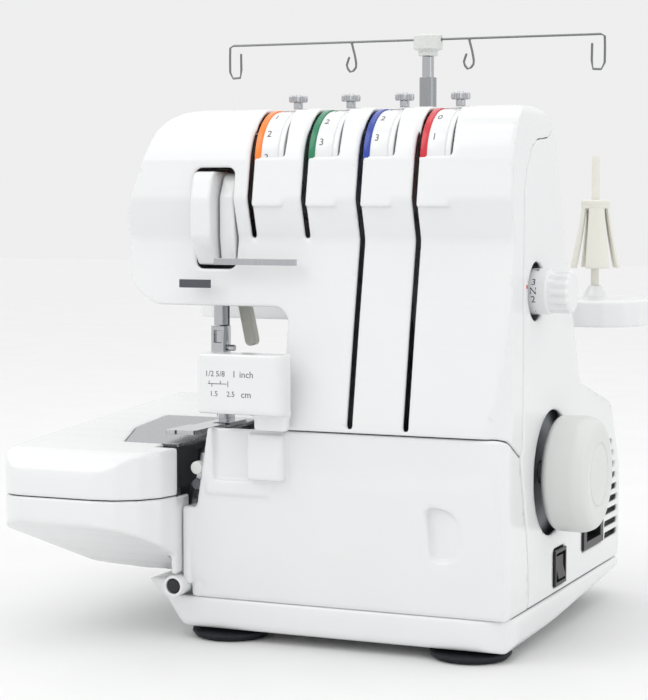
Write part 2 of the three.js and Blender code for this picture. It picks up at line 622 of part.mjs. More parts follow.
function buildElectrics() {
  const socket = block(119, SIDE_X + 1.2, 63.9, 105.5, 38.5, 62.1);
  const well = block(123, SIDE_X + 4, 70, 99, 43, 58);
  const pins = join(...[79, 90].map((y) => rod('x', [0, y, 50.5], 1.6, 122, 129, 10)));
  place('power_inlet', join(cut(socket, well), pins), blackPlastic);
  const bezel = cut(block(120, SIDE_X + 1.2, 7.5, 28.5, 27.5, 47.5), block(122, SIDE_X + 4, 9.5, 26.5, 29.5,
    45.5));
  place('switch_bezel', bezel, blackPlastic);
  // The rocker's upper half is pressed in, so its lower half stands proud.
  const rocker = alongY([[126, 31.2], [132, 31.2], [130.4, 37.5], [130.4, 43.8], [126, 43.8]], 11.2, 24.8);
  place('rocker_switch', rocker, blackPlastic);
}

// ---------------------------------------------------------------- looper cover shaft and gauge

function buildGauge() {
  place('looper_cover_shaft', rod('x', [0, HINGE.y, HINGE.z], HINGE.r, -62, -44, 24), blackPlastic);
  const box = alongZ([[-35, -103, 3], [14, -103, 5], [14, -86.5, 2], [-35, -86.5, 2]], 126.5, 160.3);
  const underCut = alongX([[-110, 100], [-80, 100], [-80, 140], [-87, 126.5], [-103.2, 128.6], [-110, 129]],
    -60, 60);
  const stem = block(-6, 13, -94, -86.5, 119.2, 127, 2);
  place('seam_gauge', join(cut(box, underCut), stem), whiteShell);
}

// ---------------------------------------------------------------- thread stand and spool stand

function buildStand() {
  const { y, trayLow, trayTop, trayR } = PINS;
  const tray = (inset, low, high) => block(-136 + inset, 156.5 - inset, y - trayR + inset,
    y + trayR - inset, low, high,
    trayR - inset - 0.2);
  const hollowTray = cut(tray(0, trayLow, trayTop), tray(3, trayLow - 1, trayTop - 3));
  const bosses = join(...PINS.x.map((x) => turned([[0, 170], [8, 170], [8, 183], [5, 189],
    [3.6, 194], [3.6, 200.6], [0, 200.6]], 'z', [x, y, 0], 12)));
  const mastSocket = turned([[0, 150], [9, 150], [9, 186], [0, 186]], 'z', [MAST.x, MAST.y, 0], 16);
  const brackets = cut(
    join(...[32, 100].map((x) => block(x - 7, x + 7, 84, 118, 115, 181, 3))),
    alongX(SIDE_VIEW, 0, 130, -GAP),
  );
  const post = block(MAST.x - 6, MAST.x + 6, MAST.y - 6, MAST.y + 6, 110, 152, 2);
  const bore = rod('z', [MAST.x, MAST.y, 0], MAST.r + 2, 172, 200, 16);
  const pinSockets = join(...PINS.x.map((x) => rod('z', [x, y, 0], PINS.r + 0.4, 180, 210, 12)));
  place('spool_tray', cut(join(hollowTray, bosses, mastSocket, brackets, post), bore, pinSockets),
    whiteShell);
  PINS.x.forEach((x, i) => {
    const pin = turned([[0, 180.4], [PINS.r, 180.4], [PINS.r, PINS.top - 3], [1.4, PINS.top], [0,
      PINS.top]], 'z',
      [x, y, 0], 12);
    place(`spool_pin_${i + 1}`, pin, creamPlastic);
    place(`cone_holder_${i + 1}`, coneHolder(x), creamPlastic);
  });
  const lowerTube = cut(
    rod('z', [MAST.x, MAST.y, 0], MAST.r + 1.6, 172.4, MAST.joint, 16),
    rod('z', [MAST.x, MAST.y, 0], MAST.r + 0.4, 175, 330, 16),
  );
  place('mast_lower_tube', lowerTube, steel);
}

// A cone holder: a sleeve round the pin with four fins that spread downwards.
function coneHolder(x) {
  const inner = PINS.r + 0.5;
  const sleeve = turned([[inner, 202], [6, 202], [5, 241], [inner, 241], [inner, 202]], 'z', [x, PINS.y, 0],
    12);
  const crown = turned([[inner, 238], [9, 238], [9, 241.5], [inner, 241.5], [inner, 238]], 'z', [x, PINS.y,
    0], 12);
  const fin = (turn) => {
    const g = extrude([[4.6, 202], [15, 201], [9, 240], [4.6, 240]].map(([a, b]) => new THREE.Vector2(a,
      b)), 2.4);
    g.translate(0, 0, -1.2);
    g.rotateX(Math.PI / 2);
    g.rotateZ((Math.PI / 2) * turn + Math.PI / 4);
    g.translate(x, PINS.y, 0);
    return toSolid(g);
  };
  return join(sleeve, crown, fin(0), fin(1), fin(2), fin(3));
}

function eyelet(x, side) {
  const w = 7.5;
  return [[x, WIRE.z], [x + side * w, WIRE.z], [x + side * w, WIRE.z - 20], [x, WIRE.z - 20], [x,
    WIRE.z - 5]];
}

function buildMast() {
  place('mast_upper_tube', rod('z', [MAST.x, MAST.y, 0], MAST.r, 178, MAST.headLow - 0.4, 16), chrome);
  const head = turned([[0, MAST.headLow], [6, MAST.headLow], [6, MAST.headLow + 3], [9, MAST.headLow + 4],
    [9, MAST.headHigh - 1], [8, MAST.headHigh], [0, MAST.headHigh]], 'z', [MAST.x, MAST.y, 0], 28);
  const wireSlot = block(-200, 200, MAST.y - WIRE.r - 0.4, MAST.y + WIRE.r + 0.4, WIRE.z - WIRE.r - 0.4, FAR);
  place('thread_guide_head', cut(head, wireSlot), offWhite);
  const y = MAST.y;
  const leftLoop = eyelet(-110, -1).map(([x, z]) => [x, y, z]).reverse();
  const rightLoop = eyelet(120, 1).map(([x, z]) => [x, y, z]);
  const main = bentBar([...leftLoop, ...rightLoop], WIRE.r, 6, 64);
  const drops = [-34, 43].map((x) => bentBar([
    [x, y, WIRE.z], [x + 2.2, y, WIRE.z - 8], [x + 3.4, y, WIRE.z - 15], [x, y, WIRE.z - 19], [x - 3.4, y,
      WIRE.z - 15],
    [x - 1.4, y, WIRE.z - 9],
  ], WIRE.r, 6, 12));
  place('thread_guide_wire', join(main, ...drops), steel);
}

// ---------------------------------------------------------------- assembly

buildBase();
buildCasing();
buildBed();
buildFrame();
buildDrive();
buildNeedleBar();
buildPresser();
buildKnives();
buildLoopers();
buildTakeUp();
buildDials();
buildPretension();
buildStitchDial();
buildElectrics();
buildGauge();
buildStand();
buildMast();

// The origin is the middle of the footprint, on the table.
const middle = new THREE.Box3().setFromObject(machine).getCenter(new THREE.Vector3());
machine.position.set(-middle.x, -middle.y, 0);

export default machine;
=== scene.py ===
"""Visual model of a serger overlock machine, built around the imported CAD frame."""
import json
import math

import bmesh
import bpy
import numpy as np
import openvdb
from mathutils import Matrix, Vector

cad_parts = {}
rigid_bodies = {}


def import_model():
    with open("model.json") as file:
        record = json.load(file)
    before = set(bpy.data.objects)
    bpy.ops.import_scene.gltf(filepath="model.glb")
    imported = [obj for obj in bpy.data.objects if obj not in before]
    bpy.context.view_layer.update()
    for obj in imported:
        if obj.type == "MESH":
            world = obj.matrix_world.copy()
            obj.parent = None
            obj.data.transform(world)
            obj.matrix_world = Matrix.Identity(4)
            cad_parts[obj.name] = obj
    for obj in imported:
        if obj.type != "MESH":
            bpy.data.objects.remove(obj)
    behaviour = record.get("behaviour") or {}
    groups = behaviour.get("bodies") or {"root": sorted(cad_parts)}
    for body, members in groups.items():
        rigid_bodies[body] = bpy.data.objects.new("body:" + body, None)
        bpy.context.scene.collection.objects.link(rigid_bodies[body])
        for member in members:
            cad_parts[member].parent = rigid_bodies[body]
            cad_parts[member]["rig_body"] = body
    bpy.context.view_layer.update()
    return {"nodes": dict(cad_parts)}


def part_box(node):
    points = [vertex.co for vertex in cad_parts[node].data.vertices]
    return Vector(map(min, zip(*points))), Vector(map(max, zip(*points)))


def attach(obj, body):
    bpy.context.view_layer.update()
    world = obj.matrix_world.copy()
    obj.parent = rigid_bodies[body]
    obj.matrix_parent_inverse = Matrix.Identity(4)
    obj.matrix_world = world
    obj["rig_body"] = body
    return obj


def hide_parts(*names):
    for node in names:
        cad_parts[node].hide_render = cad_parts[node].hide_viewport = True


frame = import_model()

MM = 0.001
SHIFT = Vector((-0.2755, -17.5, 0))      # machine coordinates to the row frame, in mm
BAND = 6                                # half width of a shell's distance field, in voxels
TEXT_DEPTH = 0.04                       # how far printed marks stand proud, in mm


def point(x, y, z):
    """A point given in machine coordinates (mm) as a point of the row frame (m)."""
    return (Vector((x, y, z)) + SHIFT) * MM


# ------------------------------------------------------------------ materials

def new_material(name, colour, roughness, metallic=0.0, coat=0.0):
    material = bpy.data.materials.new(name)
    material.use_nodes = True
    shader = material.node_tree.nodes["Principled BSDF"]
    shader.inputs["Base Color"].default_value = (*colour, 1)
    shader.inputs["Roughness"].default_value = roughness
    shader.inputs["Metallic"].default_value = metallic
    shader.inputs["Coat Weight"].default_value = coat
    shader.inputs["Coat Roughness"].default_value = 0.04
    return material, shader


def add_noise(material, scale, detail=3.0, stretch=(1, 1, 1)):
    """A noise texture in object space; stretch scales its axes."""
    nodes, links = material.node_tree.nodes, material.node_tree.links
    coordinates = nodes.new("ShaderNodeTexCoord")
    mapping = nodes.new("ShaderNodeMapping")
    mapping.inputs["Scale"].default_value = stretch
    noise = nodes.new("ShaderNodeTexNoise")
    noise.inputs["Scale"].default_value = scale
    noise.inputs["Detail"].default_value = detail
    links.new(coordinates.outputs["Object"], mapping.inputs["Vector"])
    links.new(mapping.outputs["Vector"], noise.inputs["Vector"])
    return noise


def vary(material, shader, noise, colour, spread, roughness, rough_spread):
    """Varies the colour and the roughness a little over the surface."""
    nodes, links = material.node_tree.nodes, material.node_tree.links
    ramp = nodes.new("ShaderNodeValToRGB")
    ramp.color_ramp.elements[0].position = 0.3
    ramp.color_ramp.elements[1].position = 0.7
    ramp.color_ramp.elements[0].color = (*(c * (1 - spread) for c in colour), 1)
    ramp.color_ramp.elements[1].color = (*(min(1, c * (1 + spread)) for c in colour), 1)
    span = nodes.new("ShaderNodeMapRange")
    span.inputs["To Min"].default_value = roughness - rough_spread
    span.inputs["To Max"].default_value = roughness + rough_spread
    links.new(noise.outputs["Fac"], ramp.inputs["Fac"])
    links.new(ramp.outputs["Color"], shader.inputs["Base Color"])
    links.new(noise.outputs["Fac"], span.inputs["Value"])
    links.new(span.outputs["Result"], shader.inputs["Roughness"])


def roughen(material, shader, noise, strength, distance):
    """Adds a fine bump from a noise."""
    nodes, links = material.node_tree.nodes, material.node_tree.links
    bump = nodes.new("ShaderNodeBump")
    bump.inputs["Strength"].default_value = strength
    bump.inputs["Distance"].default_value = distance
    links.new(noise.outputs["Fac"], bump.inputs["Height"])
    links.new(bump.outputs["Normal"], shader.inputs["Normal"])


def plastic(name, colour, roughness, coat=0.0, grain=1800, strength=0.04):
    """Moulded plastic: faint flow marks in the colour and a fine grain."""
    material, shader = new_material(name, colour, roughness, coat=coat)
    vary(material, shader, add_noise(material, 14), colour, 0.012, roughness, 0.04)
    roughen(material, shader, add_noise(material, grain), strength, 0.0001)
    return material


def metal(name, colour, roughness, stretch=(1, 1, 30), strength=0.05):
    """Ground or drawn metal: streaks across the stretched axis."""
    material, shader = new_material(name, colour, roughness, metallic=1.0)
    streaks = add_noise(material, 900, 2.0, tuple(1 / s for s in stretch))
    vary(material, shader, streaks, colour, 0.03, roughness, min(0.06, roughness * 0.5))
    roughen(material, shader, streaks, strength, 0.00005)
    return material


WHITE = (0.80, 0.81, 0.815)
white = plastic("white_gloss", WHITE, 0.2, coat=0.5)
off_white = plastic("off_white_satin", (0.70, 0.715, 0.70), 0.36)
cream = plastic("cream_satin", (0.76, 0.75, 0.68), 0.38)
black = plastic("black_satin", (0.012, 0.012, 0.014), 0.36, grain=2600, strength=0.12)
rubber = plastic("rubber_matte", (0.008, 0.010, 0.016), 0.72, grain=1500, strength=0.3)
ink = plastic("ink_grey", (0.10, 0.10, 0.11), 0.5)
navy = plastic("ink_navy", (0.012, 0.02, 0.10), 0.5)
mark_red = plastic("ink_red", (0.6, 0.02, 0.03), 0.5)
steel = metal("steel_ground", (0.36, 0.37, 0.385), 0.26, strength=0.012)
# chrome's base colour is held below bare polished chrome: painted darkness that stands in for the darker
# surroundings it would reflect, which the pale studio lacks
chrome = metal("chrome_polished", (0.50, 0.51, 0.53), 0.12, strength=0.02)
# wire_steel's base colour is held far below bare steel: painted darkness that stands in for the dark reflections
# the pale studio does not give the wire
wire_steel = metal("wire_steel", (0.22, 0.225, 0.23), 0.22, strength=0.02)
dark_steel = metal("steel_dark", (0.12, 0.125, 0.14), 0.34)
cast = metal("cast_aluminium", (0.36, 0.38, 0.40), 0.55, stretch=(1, 1, 1), strength=0.4)
RING_COLOURS = {
    "left_needle": ("orange", (0.95, 0.22, 0.012)),
    "right_needle": ("green", (0.0, 0.20, 0.085)),
    "upper_looper": ("blue", (0.012, 0.045, 0.36)),
    "lower_looper": ("red", (0.62, 0.008, 0.025)),
}
ring_material = {key: plastic(f"ring_{name}", colour, 0.25, coat=0.4)
                 for key, (name, colour) in RING_COLOURS.items()}


# ------------------------------------------------------------------ mesh tools

def body_of_node(node):
    return frame["nodes"][node]["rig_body"]


def add_piece(name, mesh, material, body, replaced=()):
    piece = bpy.data.objects.new(name, mesh)
    bpy.context.scene.collection.objects.link(piece)
    mesh.materials.clear()
    mesh.materials.append(material)
    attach(piece, body)
    if replaced:
        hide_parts(*replaced)
    return piece


def welded(node):
    """The node's corner points, welded, and its triangles."""
    mesh = frame["nodes"][node].data
    mesh.calc_loop_triangles()
    corners = np.empty(len(mesh.vertices) * 3, np.float32)
    mesh.vertices.foreach_get("co", corners)
    triangles = np.empty(len(mesh.loop_triangles) * 3, np.int32)
    mesh.loop_triangles.foreach_get("vertices", triangles)
    keys = np.round(corners.reshape(-1, 3) * 1e6).astype(np.int64)
    unique, index = np.unique(keys, axis=0, return_inverse=True)
    triangles = index.ravel()[triangles.reshape(-1, 3)]
    whole = ((triangles[:, 0] != triangles[:, 1]) & (triangles[:, 1] != triangles[:, 2])
             & (triangles[:, 0] != triangles[:, 2]))
    return (unique / 1e6).astype(np.float32), triangles[whole]


def blurred(field, passes):
    """The field after some passes of a [1, 2, 1] blur along each axis."""
    for _ in range(passes):
        for axis in range(3):
            moved = np.moveaxis(field, axis, 0)
            total = 2 * moved
            total[1:] += moved[:-1]
            total[:-1] += moved[1:]
            total[0] += moved[0]
            total[-1] += moved[-1]
            field = np.moveaxis(total / 4, 0, axis)
    return np.ascontiguousarray(field)


def sample(field, at):
    """The field's value at points given in voxels, between the grid's points."""
    base = np.clip(np.floor(at).astype(int), 0, np.array(field.shape) - 2)
    part = at - base
    value = np.zeros(len(at), np.float32)
    for corner in np.ndindex(2, 2, 2):
        weight = np.prod(np.where(corner, part, 1 - part), axis=1)
        i, j, k = (base + corner).T
        value += weight * field[i, j, k]
    return value


def soften(node, material, voxel=1.0, passes=2, adapt=0.02, edit=None, grow=0.0):
    """Replaces a node with its own solid with every edge rounded, through a blurred distance field.
    edit, if given, changes the field first: it gets the field and the x, y, z of its points in mm.
    grow moves the surface outwards, in mm, which narrows the seams between two shells."""
    points, triangles = welded(node)
    size = voxel * MM
    transform = openvdb.createLinearTransform(voxelSize=size)
    solid = openvdb.FloatGrid.createLevelSetFromPolygons(
        points, triangles=triangles.astype(np.uint32), transform=transform, halfWidth=BAND)
    low, high = solid.evalActiveVoxelBoundingBox()
    field = np.empty(tuple(h - l + 1 for l, h in zip(low, high)), np.float32)
    solid.copyToArray(field, ijk=low)
    if edit:
        axes = [(np.arange(n) + l) * voxel - s for n, l, s in zip(field.shape, low, SHIFT)]
        field = edit(field * 1000, *np.meshgrid(*axes, indexing="ij", sparse=True)) / 1000
        field = field.astype(np.float32)
    field = blurred(field, passes) - grow * MM
    grid = openvdb.FloatGrid(BAND * size)
    grid.transform = transform
    grid.copyFromArray(field, ijk=low)
    vertices, tris, quads = grid.convertToPolygons(0.0, adapt)
    mesh = bpy.data.meshes.new(node)
    faces = tris.tolist() + quads.tolist()
    mesh.from_pydata(vertices.tolist(), [], faces)
    mesh.validate()
    mesh.shade_smooth()
    at = vertices / size - np.array(low)
    slope = np.stack([sample(field, at + step) - sample(field, at - step)
                      for step in 0.7 * np.eye(3)], axis=1)
    slope /= np.linalg.norm(slope, axis=1, keepdims=True) + 1e-12
    if len(mesh.vertices) == len(slope):
        mesh.normals_split_custom_set_from_vertices(slope.tolist())
    return add_piece(f"{node}_shell", mesh, material, body_of_node(node), [node])


def crisp(node, material, bevel=0.3, angle=32):
    """Replaces a node with its own solid with beveled edges and smooth curved sides."""
    points, triangles = welded(node)
    mesh = bpy.data.meshes.new(node)
    mesh.from_pydata(points.tolist(), [], triangles.tolist())
    form = bmesh.new()
    form.from_mesh(mesh)
    bmesh.ops.dissolve_limit(form, angle_limit=math.radians(1.5), verts=form.verts, edges=form.edges)
    for face in form.faces:
        face.smooth = True
    for edge in form.edges:
        if len(edge.link_faces) == 2:
            edge.smooth = edge.calc_face_angle() < math.radians(angle)
    form.to_mesh(mesh)
    form.free()
    piece = add_piece(f"{node}_body", mesh, material, body_of_node(node), [node])
    if bevel:
        modifier = piece.modifiers.new("edges", "BEVEL")
        modifier.width = bevel * MM
        modifier.segments = 2
        modifier.limit_method = "ANGLE"
        modifier.angle_limit = math.radians(angle)
        modifier.harden_normals = True
    return piece


def lathe_mesh(name, profile, axis, centre, steps=96, wobble=None):
    """A closed turned form. profile is (radius, along) in mm from one pole to the other;
    wobble, if given, changes the radius by (radius, along, angle)."""
    form = bmesh.new()
    rings = []
    for radius, along in profile:
        ring = []
        for i in range(steps if radius > 1e-6 else 1):
            angle = 2 * math.pi * i / steps
            r = wobble(radius, along, angle) if wobble else radius
            if axis == "x":
                place = centre + Vector((along, r * math.cos(angle), r * math.sin(angle)))
            elif axis == "y":
                place = centre + Vector((r * math.sin(angle), along, r * math.cos(angle)))
            else:
                place = centre + Vector((r * math.cos(angle), r * math.sin(angle), along))
            ring.append(form.verts.new(place * MM))
        rings.append(ring)
    for a, b in zip(rings, rings[1:]):
        for i in range(steps):
            corners = [a[i % len(a)], a[(i + 1) % len(a)], b[(i + 1) % len(b)], b[i % len(b)]]
            corners = list(dict.fromkeys(corners))
            if len(corners) > 2:
                form.faces.new(corners)
    bmesh.ops.recalc_face_normals(form, faces=form.faces)
    for face in form.faces:
        face.smooth = True
    for edge in form.edges:
        if len(edge.link_faces) == 2:
            edge.smooth = edge.calc_face_angle() < math.radians(38)
    mesh = bpy.data.meshes.new(name)
    form.to_mesh(mesh)
    form.free()
    return mesh


def rounded_profile(corners, radius, steps=5):
    """A (radius, along) profile with its inner corners rounded."""
    out = [corners[0]]
    for before, here, after in zip(corners, corners[1:], corners[2:]):
        p, a, b = Vector(here), Vector(before), Vector(after)
        r = min(radius, (a - p).length * 0.45, (b - p).length * 0.45)
        start, end = p + (a - p).normalized() * r, p + (b - p).normalized() * r
        for i in range(steps + 1):
            t = i / steps
            out.append(tuple((1 - t) ** 2 * start + 2 * t * (1 - t) * p + t * t * end))
    out.append(corners[-1])
    return out


def letters(text, size):
    """A flat text as points (u, v, w) in mm and faces, centred on its own middle."""
    curve = bpy.data.curves.new("text", "FONT")
    curve.body = text
    curve.size = size
    curve.extrude = TEXT_DEPTH
    curve.resolution_u = 3
    curve.align_x = "CENTER"
    curve.align_y = "CENTER"
    holder = bpy.data.objects.new("text", curve)
    mesh = bpy.data.meshes.new_from_object(holder)
    points = [tuple(v.co) for v in mesh.vertices]
    faces = [tuple(p.vertices) for p in mesh.polygons]
    bpy.data.objects.remove(holder)
    bpy.data.meshes.remove(mesh)
    bpy.data.curves.remove(curve)
    return points, faces


def marks(name, items, material, body):
    """Printed marks as one piece. items are (points, faces) with points already in the row frame."""
    points, faces = [], []
    for item_points, item_faces in items:
        base = len(points)
        points += item_points
        faces += [tuple(base + i for i in face) for face in item_faces]
    mesh = bpy.data.meshes.new(name)
    mesh.from_pydata(points, [], faces)
    form = bmesh.new()
    form.from_mesh(mesh)
    bmesh.ops.remove_doubles(form, verts=form.verts, dist=1e-7)
    bmesh.ops.recalc_face_normals(form, faces=form.faces)
    form.to_mesh(mesh)
    form.free()
    return add_piece(name, mesh, material, body)


def on_drum(text, size, centre, radius, x, angle):
    """A text wrapped round a drum about X; angle is above the horizontal front, in degrees."""
    points, faces = letters(text, size)
    placed = []
    for u, v, w in points:
        turn = math.radians(angle) + v / radius
        r = radius + w
        placed.append(tuple(point(x + u, centre[0] - r * math.cos(turn), centre[1] + r * math.sin(turn))))
    return placed, faces


def bar_mark(u0, u1, v0, v1):
    """A flat printed bar as points (u, v, w) and faces."""
    d = TEXT_DEPTH
    points = [(u, v, w) for w in (-d, d) for u, v in ((u0, v0), (u1, v0), (u1, v1), (u0, v1))]
    faces = [(0, 3, 2, 1), (4, 5, 6, 7)] + [(i, (i + 1) % 4, 4 + (i + 1) % 4, 4 + i) for i in range(4)]
    return points, faces


# ------------------------------------------------------------------ shells

DIAL_CENTRE = (-40, 262)
DIAL_R = 28.4
DIAL_STEP = 28.5                        # degrees between two numerals
DIALS = {                               # left edge X, first numeral, its angle above the front
    "left_needle": (-17.2, 1, 61), "right_needle": (14.4, 2, 50),
    "upper_looper": (45.9, 2, 54.5), "lower_looper": (78, 0, 55),
}

def slab(x, y, z, x0, x1, y0, y1, z0, z1):
    """The field of a box, in mm, negative inside."""
    sides = (x0 - x, x - x1, y0 - y, y - y1, z0 - z, z - z1)
    result = sides[0]
    for side in sides[1:]:
        result = np.maximum(result, side)
    return result


GROOVES = ((-19.8, 221), (11.8, 221), (43.4, 121), (75.0, 121))    # left edge X, lower end Z
WINDOW_LOW = 264.6
CREASE = (-72.2, 242.3)                 # Y and Z of the crease under the head's rounded top


def edit_front_cover(field, x, y, z):
    """Thickens the lips under the dial windows and cuts the thread grooves right through."""
    for left, _, _ in DIALS.values():
        depth = y - (CREASE[0] + (z - CREASE[1]) * 0.181)
        lip = slab(x, depth, z, left - 0.9, left + 17.8, 0, 2.4, 238, WINDOW_LOW)
        field = np.minimum(field, lip)
    for left, low in GROOVES:
        width = 3 * np.clip((288 - z) / 26, 0, 1)
        field = np.maximum(field, -slab(x, y, z, left, left + width, -100, -57, low, 284))
    return field


DOOR_STEP = 1.5                         # how far the door's upper part lies behind its lower part


def edit_looper_cover(field, x, y, z):
    """The door's open upper left corner, recessed panel, raised block, brow and finger recess."""
    field = np.minimum(field, slab(x, y, z, -12, 126, -82, -76.5, 82, 116))
    field = np.minimum(field, slab(x, y, z, -40, -8, -82, -76, 82, 116.5))
    field = np.minimum(field, slab(x, y, z, -55.4, -50, -80.5, -66, 31, 74))
    front = -76 - 7.7 * (z - 23.4) / 94.6
    brow = 97 + 0.03 * x
    rise = np.clip((z - brow + 9) / 9, 0, 1) * np.clip((124 - x) / 12, 0, 1) * np.clip((x + 2) / 10, 0, 1)
    field = np.maximum(field, np.minimum(front + DOOR_STEP * rise - y, -slab(x, y, z, -2, 126, -100, -70, 80, 130)))
    field = np.maximum(field, -slab(x, y, z, -35.4, -13.6, -100, -79.6, 90, 130))
    field = np.minimum(field, slab(x, y, z, -13, 8, -87.2, -80, 91.5, 116.5))
    edge = -39.6 - 0.2 * (112 - z)
    field = np.maximum(field, -np.maximum(np.maximum(x - edge, 74 - z), y + 60))
    ramp = front + 4 - 4 * np.clip((x - 90) / 17, 0, 1) ** 1.5
    return np.minimum(field, slab(x, y, z, 86, 110, ramp, -72.6, 50, 85))


def edit_rear_cover(field, x, y, z):
    """The shadow gap round the handwheel."""
    gap = np.maximum(np.hypot(y - 4.5, z - 92) - 34.3, 127.3 - x)
    return np.maximum(field, -gap)


def edit_bed_lower(field, x, y, z):
    """Closes the bed's right side in front of the arm."""
    return np.minimum(field, slab(x, y, z, -59, -56.2, -87, -70, 37, 79.5))


def build_shells():
    soften("front_cover", white, 0.9, 1, edit=edit_front_cover, grow=0.12)
    soften("rear_cover", white, 1.1, 1, adapt=0.03, edit=edit_rear_cover, grow=0.12)
    soften("looper_cover", white, 0.9, 2, edit=edit_looper_cover, grow=0.12)
    soften("base_tray", white, 1.0, 2, grow=0.1)
    soften("bed_upper", white, 1.0, 1, grow=0.15)
    soften("bed_lower", white, 1.0, 1, edit=edit_bed_lower, grow=0.15)
    soften("spool_tray", white, 1.0, 2)
    soften("take_up_cover", white, 0.5, 3)
    soften("seam_gauge", white, 0.6, 3)
    soften("thread_guide_wire", wire_steel, 0.32, 1, adapt=0.01)
    soften("presser_lever", cream, 0.5, 2)


def build_small_parts():
    for node, material, bevel in (
        ("needle_plate", steel, 0.25), ("bed_arm", cast, 0.6), ("machine_frame", cast, 0.6),
        ("main_shaft", steel, 0.3), ("motor_body", dark_steel, 0.6), ("motor_pulley", steel, 0.3),
        ("drive_belt", rubber, 0.2), ("needle_bar", chrome, 0.2), ("needle_clamp", chrome, 0.3),
        ("needle_left", steel, 0), ("needle_right", steel, 0), ("presser_bar", dark_steel, 0.2),
        ("presser_foot", chrome, 0.25), ("upper_knife_arm", steel, 0.25), ("lower_knife", dark_steel, 0.2),
        ("lower_looper", chrome, 0.2), ("upper_looper", chrome, 0.2), ("feed_dog", steel, 0.15),
        ("take_up_guide_plate", chrome, 0.2), ("thread_hook_guide", dark_steel, 0.2),
        ("power_inlet", black, 0.3), ("switch_bezel", black, 0.3), ("rocker_switch", black, 0.4),
        ("mast_lower_tube", steel, 0.3), ("mast_upper_tube", chrome, 0.3),
        ("thread_guide_head", off_white, 0.5),
        ("foot_front_left", rubber, 0.8), ("foot_front_right", rubber, 0.8),
        ("foot_rear_left", rubber, 0.8), ("foot_rear_right", rubber, 0.8),
        ("spool_pin_1", cream, 0.4), ("spool_pin_2", cream, 0.4),
        ("spool_pin_3", cream, 0.4), ("spool_pin_4", cream, 0.4),
    ):
        crisp(node, material, bevel)


# ------------------------------------------------------------------ dials and wheel

def build_dials():
    for key, (left, first, angle) in DIALS.items():
        node, body = f"tension_dial_{key}", f"dial_{key}"
        centre = Vector((0, *DIAL_CENTRE)) + SHIFT
        start = left + 0.05
        drum = lathe_mesh(f"{node}_drum", rounded_profile([
            (0, start + 3.4), (26, start + 3.4), (27.7, start + 3.9), (27.7, start + 13.6), (27.1, start + 13.8),
            (27.1, start + 14.3), (27.7, start + 14.5), (27.7, start + 16.9), (26.2, start + 16.9),
            (0, start + 16.9)], 0.5, 3), "x", centre, 120)
        add_piece(f"{node}_drum", drum, white, body, [node])
        ring = lathe_mesh(f"{node}_ring", rounded_profile([
            (0, start + 0.02), (26.6, start + 0.02), (DIAL_R - 0.05, start + 0.6), (DIAL_R - 0.05, start + 3.7),
            (27.4, start + 4.0), (20, start + 4.0), (0, start + 4.0)], 0.5, 3), "x", centre, 120)
        add_piece(f"{node}_ring", ring, ring_material[key], body)
        items = [on_drum(str(number), 5.6, DIAL_CENTRE, 27.75, start + 7.2, angle - DIAL_STEP * (number - first))
                 for number in range(10)]
        marks(f"{node}_numerals", items, ink, body)


def build_stitch_dial():
    node = "stitch_length_dial"
    low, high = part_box(node)
    centre = Vector((0, (low.y + high.y) / 2 / MM, (low.z + high.z) / 2 / MM))
    left, right, radius = low.x / MM, high.x / MM, (high.z - low.z) / 2 / MM - 0.1
    grip = left + (right - left) * 0.55

    def flutes(r, along, angle):
        if along < grip + 0.6 or r < radius * 0.6:
            return r
        return r - 1.1 * abs(math.sin(7 * angle)) ** 3 * min(1, (along - grip) / 4)

    profile = rounded_profile([(0, left + 0.05), (radius - 0.6, left + 0.05), (radius - 0.5, grip),
                               (radius - 1.4, grip + 0.5), (radius - 1.2, right - 1.2),
                               (radius - 2.6, right - 0.05), (0, right - 0.05)], 0.6, 4)
    dense = []
    for a, b in zip(profile, profile[1:]):
        parts = max(1, int(abs(b[1] - a[1]) / 0.8))
        dense += [(a[0] + (b[0] - a[0]) * i / parts, a[1] + (b[1] - a[1]) * i / parts) for i in range(parts)]
    dense.append(profile[-1])
    mesh = lathe_mesh(f"{node}_grip", dense, "x", centre, 168, flutes)
    add_piece(f"{node}_grip", mesh, white, body_of_node(node), [node])
    middle = (centre.y - SHIFT.y, centre.z)
    items = [on_drum(text, 5.2, middle, radius - 0.5, (left + grip) / 2 - SHIFT.x + 1.2, angle)
             for text, angle in (("4", 69.5), ("3", 25.5), ("N", 3), ("2", -18), ("1", -62))]
    marks(f"{node}_numerals", items, navy, body_of_node(node))


def build_handwheel():
    low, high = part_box("handwheel")
    centre = Vector((0, (low.y + high.y) / 2 / MM, (low.z + high.z) / 2 / MM))
    left, right, radius = low.x / MM, high.x / MM, (high.z - low.z) / 2 / MM - 0.05
    profile = rounded_profile([
        (0, left + 0.05), (radius - 5, left + 0.05), (radius - 0.2, left + 3), (radius, left + 9),
        (radius, right - 7), (radius - 2.5, right - 1.6), (radius - 7, right - 0.1), (18.2, right - 0.6),
        (17.4, right - 1.4), (16.6, right - 0.6), (0, right - 0.3)], 3.0, 7)
    mesh = lathe_mesh("handwheel_rim", profile, "x", centre, 144)
    add_piece("handwheel_rim", mesh, off_white, "drive", ["handwheel"])


